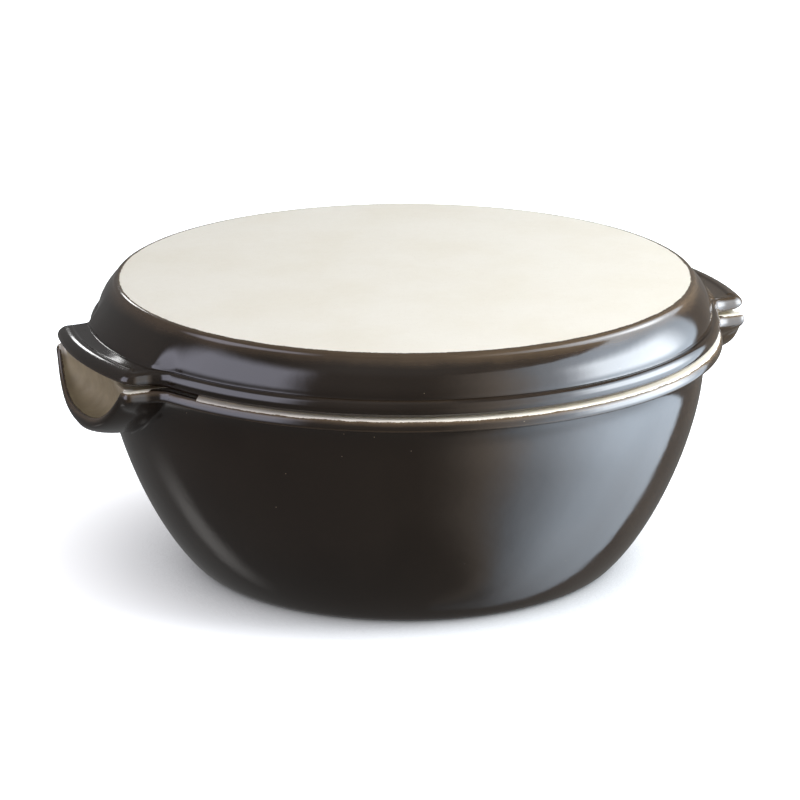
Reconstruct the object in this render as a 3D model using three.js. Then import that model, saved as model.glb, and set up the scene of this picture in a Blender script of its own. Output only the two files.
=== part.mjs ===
// A round bread cloche of glazed stoneware: a deep bowl and a shallow pan that is
// turned over on it as its lid. Each piece is one casting with two opposite lugs:
// scooped ears on the bowl and flat tabs on the lid.
// Millimetres, +Z up, origin on the floor under the middle, lugs along X.
import * as THREE from "three";
import { ParametricGeometry } from "three/addons/geometries/ParametricGeometry.js";

// Bowl
const RIM_RADIUS = 152.4;
const RIM_HEIGHT = 113;
const NECK_INSET = 8.9;
const NECK_DROP = 17;
const FOOT_RADIUS = 100;
const WALL = 7;
const BOWL_FLOOR = 8;
const BOWL_CORNER = 11;
const BAND_HEIGHT = 6.5;
const BAND_PROUD = 6;
const RIM_EDGE_WIDTH = 2.6;
const RIM_EDGE_DEPTH = 4;
const BEAD_HEIGHT = 2;
const BEAD_WIDTH = 3.5;
const BEAD_ROUND = 0.8;

// Ears of the bowl
const EAR_REACH = 15.1;
const EAR_HALF_WIDTH = 47;
const EAR_DEPTH = 33.5;
const EAR_CORNER = 3;
const EAR_FILLET = 9;
const EAR_EDGE_WIDTH = 2;
const EAR_EDGE_DEPTH = 3;
const EAR_LIP = 3.6;
const RIM_LIP = 3.1;
const HOLLOW_BITE = 8;
const HOLLOW_UNDERCUT = 2.5;
const HOLLOW_DIP = 20.6;
const HOLLOW_SIDE = 5.5;
const HOLLOW_EDGE = 0.8;

// Lid
const LID_HEIGHT = 27;
const SEAT_GAP = 0.3;
const BEAD_CLEARANCE = 1;
const LID_INSET = 1.5;
const LID_FLOOR = 8;
const LID_CORNER = 15;
const SEAT_WIDTH = 5;
const LEDGE_WIDTH = 3.7;
const SHOULDER_WIDTH = 3.2;
const SHOULDER_DROP = 2.1;
const BELLY_BULGE = 7.8;
const FLANGE_HEIGHT = 8.3;
const FLANGE_ROUND = 2.4;
const FLANGE_LIFT = 0.6;
const FLANGE_WIDEST_SHARE = 0.52;
const FLANGE_UNDERCUT_SHARE = 1.3;
const GROOVE = 1.2;

// Tabs of the lid
const TAB_TIP_INSET = 0.5;
const TAB_SIDE_INSET = 0.8;
const TAB_CORNER = 6;
const TAB_FILLET = 9;
const TAB_ROOT = 4.5;
const TAB_ROUND = 4.8;
const TAB_LIFT = 1.5;
const TAB_LIP_RISE = 0.8;
const TAB_LIP_DROP = 0.5;
const TAB_RISE = 0.4;
const TAB_SAG = 0.5;
const TAB_FLARE_START = THREE.MathUtils.degToRad(15.5);
const TAB_FLARE_END = THREE.MathUtils.degToRad(20.5);

// How the curves bend: a larger power holds on longer and then turns more sharply
const BODY_POWER = 1.535;
const BODY_ROOT = 1.3;
const FLARE_POWER = 2;
const BAND_POWER = 2.3;
const BAND_ROOT = 2;
const EAR_POWER = 1.25;
const HOLLOW_SIDE_POWER = 2.8;
const HOLLOW_LIP_POWER = 0.6;
const HOLLOW_BITE_POWER = 2.5;
const HOLLOW_TURN_POWER = 0.8;
const CEILING_TURN_POWER = 0.85;
const BELLY_POWER = 2;
const SPREAD_POWER = 3;

// Where along a stretch its rings of points lie
const WALL_SHARES = [0, 0.03, 0.1, 0.22, 0.38, 0.56, 0.75, 0.92, 1];
const BAND_SHARES = [0.97, 0.87, 0.68, 0.4, 0];
const EDGE_SHARES = [1 / 3, 2 / 3, 1];
const BORE_SHARES = [1, 0.82, 0.62, 0.42, 0.24, 0.1, 0.03, 0];
const BELLY_SHARES = [0, 0.2, 0.4, 0.6, 0.8, 1];
const SHELF_DIP_SHARE = 0.2;
const SHELF_SAG_SHARE = 0.6;

const CLAY = 0xe9e2d2;
const GLAZE = 0x2a2320;

// How finely each stretch is cut: the plan outline from the lug's middle to 90 degrees, and
// three curves of the sections
const STEPS = {
  lug: 6, corner: 3, side: 2, fillet: 3, rim: 9, hollow: 6, ceiling: 5, lowerFace: 3,
};

// Sizes that follow from the ones above
const NECK_RADIUS = RIM_RADIUS - NECK_INSET;
const NECK_HEIGHT = RIM_HEIGHT - NECK_DROP;
const LID_RIM_RADIUS = RIM_RADIUS - LID_INSET;
const SHOULDER_RADIUS = LID_RIM_RADIUS - LEDGE_WIDTH - BELLY_BULGE;
const DISC_RADIUS = SHOULDER_RADIUS - SHOULDER_WIDTH;
const TAB_REACH = RIM_RADIUS + EAR_REACH - TAB_TIP_INSET - LID_RIM_RADIUS;
const TAB_HALF_WIDTH = EAR_HALF_WIDTH - TAB_SIDE_INSET;
const LID_SEAT = RIM_HEIGHT + SEAT_GAP;
const LID_TOP = LID_SEAT + LID_HEIGHT;
const BEAD_OUTER = NECK_RADIUS - WALL + BEAD_WIDTH;
const SEAT_INNER = BEAD_OUTER + BEAD_CLEARANCE;

// A rounded fall from 1 at share 0 to 0 at share 1: the larger the powers, the squarer
const roundedShare = (share, power, root = power) =>
  Math.pow(Math.max(0, 1 - Math.pow(share, power)), 1 / root);

const between = (from, to, share) => from + (to - from) * share;

// Even steps from 0 to 1, both ends in
const stepShares = (count) => Array.from({ length: count + 1 }, (_, i) => i / count);

// The points of one arc with their outward normals; a hollow arc bends away from the part
function arcPoints(cx, cy, radius, fromAngle, toAngle, steps, hollow = false) {
  const sign = hollow ? -1 : 1;
  return stepShares(steps).map((share) => {
    const angle = between(fromAngle, toAngle, share);
    const [c, s] = [Math.cos(angle), Math.sin(angle)];
    return { x: cx + radius * c, y: cy + radius * s, nx: sign * c, ny: sign * s };
  });
}

// A quarter of the plan outline: a round rim with a lug across the X axis, whose sides
// run along X between a rounded corner and a hollow fillet into the rim
function outlineQuarter({ rim, reach, halfWidth, corner, fillet }) {
  const tip = rim + reach;
  const cornerX = Math.sqrt((tip - corner) ** 2 - (halfWidth - corner) ** 2);
  const cornerAngle = Math.atan2(halfWidth - corner, cornerX);
  const filletX = Math.sqrt((rim + fillet) ** 2 - (halfWidth + fillet) ** 2);
  const filletAngle = Math.atan2(halfWidth + fillet, filletX);
  const right = Math.PI / 2;
  const side = stepShares(STEPS.side).map((share) => (
    { x: between(cornerX, filletX, share), y: halfWidth, nx: 0, ny: 1 }
  ));
  return [
    ...arcPoints(0, 0, tip, 0, cornerAngle, STEPS.lug),
    ...arcPoints(cornerX, halfWidth - corner, corner, cornerAngle, right, STEPS.corner).slice(1),
    ...side.slice(1),
    ...arcPoints(filletX, halfWidth + fillet, fillet, -right, filletAngle - Math.PI,
      STEPS.fillet, true).slice(1),
    ...arcPoints(0, 0, rim, filletAngle, right, STEPS.rim).slice(1),
  ].map((p) => ({ ...p, lug: (Math.hypot(p.x, p.y) - rim) / reach }));
}

// The whole outline, anticlockwise, its last point on its first
function outlineLoop(sizes) {
  const quarter = outlineQuarter(sizes);
  const back = [...quarter].reverse();
  const turned = (points, sx, sy) => points.map((p) => (
    { ...p, x: sx * p.x, y: sy * p.y, nx: sx * p.nx, ny: sy * p.ny }
  ));
  return [
    ...quarter,
    ...turned(back, -1, 1).slice(1),
    ...turned(quarter, -1, -1).slice(1),
    ...turned(back, 1, -1).slice(1),
  ];
}

// One closed skin through the sections, which all run from the axis back to the axis
function skin(sections) {
  const around = sections.length - 1;
  const along = sections[0].length - 1;
  return new ParametricGeometry(
    (u, v, target) => target.copy(sections[Math.round(u * around)][Math.round(v * along)]),
    around, along,
  );
}

// A point at a radius in the direction of an outline point
function atRadius(p, radius, z) {
  const length = Math.hypot(p.x, p.y);
  return new THREE.Vector3((p.x / length) * radius, (p.y / length) * radius, z);
}

// A point that far inside the outline, square to it
const inside = (p, inset, z) => new THREE.Vector3(p.x - inset * p.nx, p.y - inset * p.ny, z);

// The bowl's outer wall swells from its foot to the neck, then flares to the band
function wallRadius(z) {
  const body = between(FOOT_RADIUS, NECK_RADIUS,
    roundedShare(Math.max(0, 1 - z / NECK_HEIGHT), BODY_POWER, BODY_ROOT));
  const flare = Math.max(0, (z - NECK_HEIGHT) / (RIM_HEIGHT - BAND_HEIGHT - NECK_HEIGHT));
  return body + (RIM_RADIUS - BAND_PROUD - NECK_RADIUS) * flare ** FLARE_POWER;
}

// The bowl's inner wall follows the outer one, a wall's thickness in
function boreRadius(z) {
  const share = Math.max(0, 1 - (z - BOWL_FLOOR) / (NECK_HEIGHT - BOWL_FLOOR));
  return between(FOOT_RADIUS - BOWL_CORNER, NECK_RADIUS - WALL,
    roundedShare(share, BODY_POWER, BODY_ROOT));
}

// The bowl at one outline point, from under its foot, up outside and down inside
function bowlSection(p) {
  const lugShare = Math.min(1, Math.abs(p.y) / EAR_HALF_WIDTH);
  const depth = between(BAND_HEIGHT, EAR_DEPTH, roundedShare(lugShare, EAR_POWER));
  const sideShare = Math.min(1, Math.abs(p.y) / (EAR_HALF_WIDTH - HOLLOW_SIDE));
  const hollowShare = p.lug > 0.5 ? 1 - sideShare ** HOLLOW_SIDE_POWER : 0;
  const dip = HOLLOW_DIP * hollowShare;
  const lug = Math.min(1, Math.max(0, p.lug));
  const edgeWidth = between(RIM_EDGE_WIDTH, EAR_EDGE_WIDTH, lug);
  const edgeDepth = between(RIM_EDGE_DEPTH, EAR_EDGE_DEPTH, lug);
  const flat = between(RIM_LIP - RIM_EDGE_WIDTH, EAR_LIP - EAR_EDGE_WIDTH,
    hollowShare ** HOLLOW_LIP_POWER);
  const lip = edgeWidth + flat;
  const bite = HOLLOW_EDGE + HOLLOW_BITE * hollowShare ** HOLLOW_BITE_POWER;
  const root = RIM_HEIGHT - depth;
  const rootRadius = wallRadius(root);
  const widest = RIM_HEIGHT - dip - edgeDepth;
  const outer = (share) => {
    const foot = atRadius(p, rootRadius, root);
    const edge = new THREE.Vector3(p.x, p.y, 0);
    return foot.lerp(edge, roundedShare(share, BAND_POWER, BAND_ROOT))
      .setZ(between(widest, root, share));
  };
  const edge = (share) => {
    const angle = (share * Math.PI) / 2;
    return inside(p, edgeWidth * (1 - Math.cos(angle)), widest + edgeDepth * Math.sin(angle));
  };
  const hollow = (share) => {
    const angle = (share * Math.PI) / 2;
    const undercut = HOLLOW_UNDERCUT * hollowShare * Math.sin(2 * angle);
    return inside(p, lip + bite * Math.sin(angle) ** HOLLOW_TURN_POWER + undercut,
      RIM_HEIGHT - dip * Math.max(0, Math.cos(angle)) ** HOLLOW_TURN_POWER);
  };
  const beadInner = NECK_RADIUS - WALL;
  const beadTop = RIM_HEIGHT + BEAD_HEIGHT;
  return [
    atRadius(p, 0, 0),
    ...WALL_SHARES.map((share) => (
      atRadius(p, wallRadius(root * share), root * share)
    )),
    ...BAND_SHARES.map(outer),
    ...EDGE_SHARES.map(edge),
    ...stepShares(STEPS.hollow).map(hollow),
    atRadius(p, BEAD_OUTER, RIM_HEIGHT),
    atRadius(p, BEAD_OUTER, beadTop - BEAD_ROUND),
    atRadius(p, BEAD_OUTER - BEAD_ROUND, beadTop),
    atRadius(p, beadInner + BEAD_ROUND, beadTop),
    atRadius(p, beadInner, beadTop - BEAD_ROUND),
    ...BORE_SHARES.map((share) => {
      const z = between(BOWL_FLOOR, NECK_HEIGHT, share);
      return atRadius(p, boreRadius(z), z);
    }),
    atRadius(p, 0, BOWL_FLOOR),
  ];
}

// The lid at one outline point, from its ceiling, down inside and up outside to its disc
function lidSection(p) {
  const lug = Math.min(1, Math.max(0, p.lug));
  const ceiling = LID_TOP - LID_FLOOR;
  const flangeTop = LID_SEAT + FLANGE_HEIGHT;
  const shoulderZ = LID_TOP - SHOULDER_DROP;
  const tip = lug * Math.abs(p.nx);
  const angleFromX = Math.atan2(Math.abs(p.y), Math.abs(p.x));
  const flare = 1 - THREE.MathUtils.smoothstep(angleFromX, TAB_FLARE_START, TAB_FLARE_END);
  const rootZ = flangeTop + TAB_RISE * flare;
  const rootRadius = SHOULDER_RADIUS + BELLY_BULGE + TAB_ROOT * flare;
  const rounding = between(FLANGE_ROUND, TAB_ROUND, tip);
  const ridge = inside(p, rounding, flangeTop + TAB_LIP_RISE * tip);
  const root = atRadius(p, rootRadius, rootZ);
  const shelf = (share, drop) => {
    const point = ridge.clone().lerp(root, share);
    return point.setZ(point.z - drop * tip);
  };
  const inner = (share) => {
    const angle = (share * Math.PI) / 2;
    return atRadius(p,
      between(SEAT_INNER - LID_CORNER, SEAT_INNER, Math.sin(angle) ** CEILING_TURN_POWER),
      between(LID_SEAT, ceiling, Math.max(0, Math.cos(angle)) ** CEILING_TURN_POWER));
  };
  const belly = (share) => {
    const z = between(rootZ + GROOVE, shoulderZ, share);
    const spread = TAB_ROOT * flare * (1 - share) ** SPREAD_POWER;
    return atRadius(p,
      SHOULDER_RADIUS + BELLY_BULGE * (1 - share ** BELLY_POWER) + spread, z);
  };
  const flangeFoot = LID_SEAT + FLANGE_LIFT + TAB_LIFT * lug;
  const widest = between(LID_SEAT + FLANGE_LIFT, flangeTop, FLANGE_WIDEST_SHARE);
  const lowerFace = (share) => {
    const angle = (share * Math.PI) / 2;
    return inside(p, FLANGE_UNDERCUT_SHARE * rounding * (1 - Math.sin(angle)),
      between(widest, flangeFoot, Math.cos(angle)));
  };
  const upperFace = (share) => {
    const angle = (share * Math.PI) / 2;
    return inside(p, rounding * (1 - Math.cos(angle)),
      between(widest, flangeTop, Math.sin(angle)));
  };
  return [
    atRadius(p, 0, ceiling),
    ...stepShares(STEPS.ceiling).map(inner),
    atRadius(p, SEAT_INNER + SEAT_WIDTH, LID_SEAT),
    ...stepShares(STEPS.lowerFace).map(lowerFace),
    ...EDGE_SHARES.slice(0, -1).map(upperFace),
    ridge,
    shelf(SHELF_DIP_SHARE, TAB_LIP_DROP),
    shelf(SHELF_SAG_SHARE, TAB_SAG),
    root,
    ...BELLY_SHARES.map(belly),
    atRadius(p, SHOULDER_RADIUS - 0.12 * SHOULDER_WIDTH, LID_TOP - 0.5 * SHOULDER_DROP),
    atRadius(p, SHOULDER_RADIUS - 0.5 * SHOULDER_WIDTH, LID_TOP - 0.12 * SHOULDER_DROP),
    atRadius(p, DISC_RADIUS, LID_TOP),
    atRadius(p, 0, LID_TOP),
  ];
}

function bowl() {
  const loop = outlineLoop({
    rim: RIM_RADIUS, reach: EAR_REACH, halfWidth: EAR_HALF_WIDTH,
    corner: EAR_CORNER, fillet: EAR_FILLET,
  });
  const stoneware = new THREE.MeshStandardMaterial({
    color: GLAZE, roughness: 0.15, metalness: 0,
  });
  const mesh = new THREE.Mesh(skin(loop.map(bowlSection)), stoneware);
  mesh.name = "bowl";
  return mesh;
}

function lid() {
  const loop = outlineLoop({
    rim: LID_RIM_RADIUS, reach: TAB_REACH, halfWidth: TAB_HALF_WIDTH,
    corner: TAB_CORNER, fillet: TAB_FILLET,
  });
  const stoneware = new THREE.MeshStandardMaterial({
    color: CLAY, roughness: 0.7, metalness: 0,
  });
  const mesh = new THREE.Mesh(skin(loop.map(lidSection)), stoneware);
  mesh.name = "lid";
  return mesh;
}

const cloche = new THREE.Group();
cloche.add(bowl(), lid());

export default cloche;
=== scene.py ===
# %% [markdown]
# A bread cloche in Blender, from a plain solid to a finished pot.
# The pot is two castings of stoneware: a deep bowl, and a shallow pan turned over on it as
# its lid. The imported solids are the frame: they say where each piece is and how big it is,
# and every finished surface is worked out around them, in metres.

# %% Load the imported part
import math

import bpy
import numpy as np
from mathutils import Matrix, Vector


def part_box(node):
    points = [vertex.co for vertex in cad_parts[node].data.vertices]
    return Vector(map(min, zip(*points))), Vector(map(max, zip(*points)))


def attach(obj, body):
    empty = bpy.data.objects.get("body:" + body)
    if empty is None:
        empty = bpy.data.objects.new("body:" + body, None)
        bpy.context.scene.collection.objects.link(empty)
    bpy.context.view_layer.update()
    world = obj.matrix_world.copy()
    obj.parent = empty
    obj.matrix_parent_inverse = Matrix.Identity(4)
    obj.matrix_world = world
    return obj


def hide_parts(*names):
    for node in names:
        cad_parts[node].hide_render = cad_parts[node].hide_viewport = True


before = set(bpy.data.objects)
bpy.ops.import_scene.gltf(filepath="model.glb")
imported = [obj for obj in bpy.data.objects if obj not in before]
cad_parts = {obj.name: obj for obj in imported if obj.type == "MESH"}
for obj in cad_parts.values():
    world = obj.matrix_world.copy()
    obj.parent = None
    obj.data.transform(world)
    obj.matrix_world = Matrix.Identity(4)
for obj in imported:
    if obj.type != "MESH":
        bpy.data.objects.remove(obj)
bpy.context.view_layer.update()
bowl_low, bowl_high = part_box("bowl")
lid_low, lid_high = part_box("lid")

# %% [markdown]
# The camera comes first, because the finish is judged through it. A long lens from about
# two metres away keeps the ellipses of the rims nearly parallel. The pot is seen from 17
# degrees above, with the left ear towards us, so the camera goes round by 25 degrees.
# The small shift puts the pot where the picture has it without turning the camera.

# %% Camera
MM = 0.001
SENSOR = 36.0
IMAGE_SIDE = 800
FOCAL_PIXELS = 3919.0
CAMERA_DISTANCE = 1894.5 * MM
CAMERA_ROUND = math.radians(24.8)
CAMERA_ABOVE = math.radians(16.99)
AIM_HEIGHT = 75 * MM
SHIFT_PIXELS = (4.9, 3.7)


def direction(azimuth, elevation):
    """Unit vector from the pot: azimuth is turned from the camera's side to the right."""
    turn = azimuth - CAMERA_ROUND
    flat = math.cos(elevation)
    return np.array([math.sin(turn) * flat, -math.cos(turn) * flat, math.sin(elevation)])


def point_at(thing, place, target):
    """Put an object at a place and turn its -Z axis to the target."""
    thing.location = place
    away = type(thing.location)(np.subtract(target, place))
    thing.rotation_mode = "QUATERNION"
    thing.rotation_quaternion = away.to_track_quat("-Z", "Y")


aim = np.array([0, 0, AIM_HEIGHT])
camera = bpy.data.objects.new("camera", bpy.data.cameras.new("camera"))
bpy.context.collection.objects.link(camera)
camera.data.sensor_width = SENSOR
camera.data.lens = SENSOR * FOCAL_PIXELS / IMAGE_SIDE
camera.data.shift_x = -SHIFT_PIXELS[0] / IMAGE_SIDE
camera.data.shift_y = SHIFT_PIXELS[1] / IMAGE_SIDE
camera.data.clip_end = 50
point_at(camera, aim + CAMERA_DISTANCE * direction(0, CAMERA_ABOVE), aim)
bpy.context.scene.camera = camera
print("camera at", [round(v, 4) for v in camera.location], "lens", round(camera.data.lens, 1))

# %% [markdown]
# The sizes of the bowl. What the solids can tell is read from them: rim radii, heights and
# how far the lugs reach. The rest are the same wall thicknesses, roundings and depths that
# the solids were made with. The wall swells from a small foot to a wide neck, and a rounded
# band stands proud of it under the flat rim.

# %% Sizes of the bowl
RIM_RADIUS = bowl_high.y
RIM_HEIGHT = lid_low.z - 0.3 * MM
NECK_RADIUS = 143.5 * MM
NECK_HEIGHT = 96 * MM
FOOT_RADIUS = 100 * MM
WALL = 7 * MM
BOWL_FLOOR = 8 * MM
BOWL_CORNER = 11 * MM
BAND_HEIGHT = 6.5 * MM
BAND_PROUD = 6 * MM
RIM_EDGE_WIDTH = 2.6 * MM
RIM_EDGE_DEPTH = 4 * MM
BEAD_HEIGHT = bowl_high.z - RIM_HEIGHT
BEAD_WIDTH = 3.5 * MM
BEAD_ROUND = 0.8 * MM
BEAD_OUTER = NECK_RADIUS - WALL + BEAD_WIDTH
WALL_POWERS = (1.535, 1.3)
BAND_POWERS = (2.3, 2)
print("rim", round(RIM_RADIUS, 4), "at", round(RIM_HEIGHT, 4), "m")

# %% [markdown]
# The sizes of the ears. An ear is pulled out of the band and scooped from above for the
# fingertips. Its outline is one set of named sizes, with a rounder set for what lies under
# its lip, so that one function can draw both. The painted shade in the scoop and on the land
# under the tab, and the glaze that ran over its lip, have their sizes here too.

# %% Sizes of the ears
EAR = {"rim": RIM_RADIUS, "reach": bowl_high.x - RIM_RADIUS, "half_width": 47 * MM,
       "corner": 3 * MM, "fillet": 9 * MM}
EAR_UNDER = {**EAR, "corner": 9 * MM, "fillet": 6 * MM}
EAR_UNDER_DROP = 12 * MM
EAR_DEPTH = 33.5 * MM
EAR_EDGE_WIDTH = 2 * MM
EAR_EDGE_DEPTH = 3 * MM
EAR_LIP = 3.6 * MM
RIM_LIP = 3.1 * MM
HOLLOW_BITE = 8 * MM
HOLLOW_UNDERCUT = 2.5 * MM
HOLLOW_DIP = 20.6 * MM
HOLLOW_SIDE = 5.5 * MM
HOLLOW_EDGE = 0.8 * MM
EAR_DEPTH_POWER = 1.25
HOLLOW_SIDE_POWER = 2.8
HOLLOW_LIP_POWER = 0.6
HOLLOW_BITE_POWER = 2.5
HOLLOW_CURVE_POWER = 0.8
# Painted shade in the scoop: how far below the rim the tan becomes full.
SHADE_FADE = 5 * MM
GLAZE_OVER_LIP = 1.2 * MM
DRIP = 7 * MM
DRIP_ANGLES = (17.5, 18.1, 25.2, 26.2)
# Painted shade on the land under the lid's tab, and where the lit strip along its edge ends.
LAND_SHADE = 0.75
LAND_SHADE_START, LAND_SHADE_FULL = 1.8 * MM, 3.6 * MM
print("ears reach", round(EAR["reach"], 4), "m past the rim")

# %% [markdown]
# The sizes of the lid. It is a pan turned over: a flat disc on top, a bulging belly, and a
# flange that rests on the bowl's rim and is drawn out to a tab over each ear.

# %% Sizes of the lid
LID_TOP = lid_high.z
LID_SEAT = lid_low.z
LID_FLOOR = 8 * MM
LID_CORNER = 15 * MM
SEAT_INNER = BEAD_OUTER + 1 * MM
SEAT_WIDTH = 5 * MM
DISC_RADIUS = 136.2 * MM
SHOULDER_WIDTH = 3.2 * MM
SHOULDER_DROP = 2.1 * MM
BELLY_BULGE = 7.8 * MM
FLANGE_HEIGHT = 8.3 * MM
FLANGE_ROUND = 2.4 * MM
FLANGE_LIFT = 0.6 * MM
GROOVE = 1.2 * MM
FLANGE_WIDEST_SHARE = 0.52
FLANGE_UNDERCUT_SHARE = 1.3
CEILING_POWER = 0.85

TAB = {"rim": lid_high.y, "reach": lid_high.x - lid_high.y, "half_width": 46.2 * MM,
       "corner": 6 * MM, "fillet": 9 * MM}
TAB_ROOT = 4.5 * MM
TAB_ROUND = 4.8 * MM
TAB_RIDGE_ROUND = 6.5 * MM
TAB_LIFT = 1.5 * MM
TAB_LIP_RISE = 0.8 * MM
TAB_LIP_DROP = 0.5 * MM
TAB_RISE = 0.4 * MM
TAB_SAG = 0.2 * MM
TAB_FLARE_START = math.radians(15.5)
TAB_FLARE_END = math.radians(20.5)
TAB_LIP_SHARE = 0.2
print("lid top at", round(LID_TOP, 4), "m, tabs reach", round(TAB["reach"], 4), "m")

# %% [markdown]
# Seen from above, both pieces have the same kind of outline: a circle with a lug on each
# side. The outline is one row of points with the direction that faces out of the clay at
# each of them, so that edges can be rounded square to it, also round the lug's corners.
# A quarter is made from two arcs, a line, a hollow arc and the rim, and then mirrored.

# %% The plan outline
STEPS = {"lug": 34, "corner": 8, "side": 6, "fillet": 8, "rim": 44}


def arc(centre, radius, start, end, steps, hollow=False):
    """Centre plus radius times (cos, sin) of evenly spaced angles, with the outward normal."""
    angle = np.linspace(start, end, steps + 1)
    c, s = np.cos(angle), np.sin(angle)
    facing = -1 if hollow else 1
    return np.array([centre[0] + radius * c, centre[1] + radius * s, facing * c, facing * s])


def outline(rim, reach, half_width, corner, fillet):
    """The closed outline: rows are x, y and the two parts of the outward normal.

    The corner arc touches the tip circle and the side line, and the hollow arc touches
    the side line and the rim circle, so each centre is at one side of a right triangle.
    """
    tip = rim + reach
    corner_x = math.sqrt((tip - corner) ** 2 - (half_width - corner) ** 2)
    corner_angle = math.atan2(half_width - corner, corner_x)
    fillet_x = math.sqrt((rim + fillet) ** 2 - (half_width + fillet) ** 2)
    fillet_angle = math.atan2(half_width + fillet, fillet_x)
    right = math.pi / 2
    side_x = np.linspace(corner_x, fillet_x, STEPS["side"] + 1)
    side = np.array([side_x, 0 * side_x + half_width, 0 * side_x, 0 * side_x + 1])
    quarter = np.hstack([
        arc((0, 0), tip, 0, corner_angle, STEPS["lug"]),
        arc((corner_x, half_width - corner), corner, corner_angle, right, STEPS["corner"])[:, 1:],
        side[:, 1:],
        arc((fillet_x, half_width + fillet), fillet, -right, fillet_angle - math.pi,
            STEPS["fillet"], hollow=True)[:, 1:],
        arc((0, 0), rim, fillet_angle, right, STEPS["rim"])[:, 1:],
    ])
    back = quarter[:, ::-1]
    flip_x = np.array([[-1], [1], [-1], [1]])
    flip_y = np.array([[1], [-1], [1], [-1]])
    return np.hstack([quarter, flip_x * back[:, 1:], flip_x * flip_y * quarter[:, 1:],
                      flip_y * back[:, 1:-1]])


def plan(sizes):
    """The outline with its radius and how far it is out on a lug, from 0 at the rim to 1."""
    x, y, nx, ny = outline(**sizes)
    r = np.hypot(x, y)
    lug = np.clip((r - sizes["rim"]) / sizes["reach"], 0, 1)
    return {"x": x, "y": y, "nx": nx, "ny": ny, "r": r, "lug": lug}


def at_radius(p, radius, z):
    """Points at a radius in the direction of each outline point."""
    return np.stack(np.broadcast_arrays(p["x"] / p["r"] * radius, p["y"] / p["r"] * radius, z), -1)


def inside(p, inset, z):
    """Points that far inside the outline, square to it."""
    return np.stack(np.broadcast_arrays(p["x"] - p["nx"] * inset, p["y"] - p["ny"] * inset, z), -1)


bowl_plan, under_plan, lid_plan = plan(EAR), plan(EAR_UNDER), plan(TAB)
print("outline points", bowl_plan["x"].size, lid_plan["x"].size)

# %% [markdown]
# A round pot could be spun from one profile, but the lugs change the profile from place to
# place. So a section is drawn at every outline point at once: each station of the section
# is a whole ring of points, worked out as an array. The rings are kept in a list with names
# for the ones that matter later, such as where the glaze ends.

# %% Stations of a section
def column(values):
    """Values as a column, so that they combine with the row of outline points."""
    return np.asarray(values, float)[:, None]


def eased(steps, first=0.0, last=1.0):
    """Shares from first to last that crowd together at both ends: half of 1 minus a cosine."""
    share = (1 - np.cos(np.pi * np.linspace(0, 1, steps + 1))) / 2
    return column(first + (last - first) * share)


def between(start, end, share):
    """Start plus a share of the way to the end."""
    return start + (end - start) * share


def rounded_share(share, power, root=None):
    """A rounded fall from 1 at share 0 to 0 at share 1: (1 - share ** power) ** (1 / root)."""
    return np.maximum(0, 1 - share ** power) ** (1 / (root or power))


class Section:
    """Rings of points from the axis to the axis, with the names of some of them."""

    def __init__(self):
        self.rings = []
        self.marks = {}

    def add(self, rings):
        self.rings.extend(rings)

    def mark(self, name):
        self.marks[name] = len(self.rings) - 1

    def points(self):
        return np.array(self.rings)


def soften(points, station, reach, rounds):
    """Round the angle at one station: near it each point moves to the middle of its two
    neighbours along the section, by a share that falls to nothing over the reach."""
    index = np.arange(1, len(points) - 1)
    weight = 0.5 * np.clip(1 - np.abs(index - station) / (reach + 1), 0, 1)[:, None, None]
    for _ in range(rounds):
        middle = (points[:-2] + points[2:]) / 2
        points[1:-1] += weight * (middle - points[1:-1])


# %% [markdown]
# The bowl. Its wall swells from the foot to the neck like a rounded square's corner, then
# flares to the band under the rim. On a lug the band grows down into an ear, deepest in the
# middle, and the ear's top is scooped out for the fingertips: the lip dips in a U, and
# behind it the hollow curves up to the flat rim. A bead inside the rim keeps the lid from
# sliding off. The names in the code follow the section from under the foot, up outside,
# over the rim and down inside.

# %% Bowl surface
def wall_radius(z):
    """Outside: between foot and neck by a rounded share, plus a squared flare to the band."""
    share = rounded_share(np.clip(1 - z / NECK_HEIGHT, 0, 1), *WALL_POWERS)
    flare = np.clip((z - NECK_HEIGHT) / (RIM_HEIGHT - BAND_HEIGHT - NECK_HEIGHT), 0, None)
    reach = RIM_RADIUS - BAND_PROUD - NECK_RADIUS
    return between(FOOT_RADIUS, NECK_RADIUS, share) + reach * flare ** 2


def bore_radius(z):
    """Inside: the outer wall's curve again, a wall's thickness in."""
    share = np.clip(1 - (z - BOWL_FLOOR) / (NECK_HEIGHT - BOWL_FLOOR), 0, 1)
    share = rounded_share(share, *WALL_POWERS)
    return between(FOOT_RADIUS - BOWL_CORNER, NECK_RADIUS - WALL, share)


def quarter_turn(steps):
    """A column of evenly spaced angles from 0 to a right angle."""
    return column(np.linspace(0, np.pi / 2, steps + 1))


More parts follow.
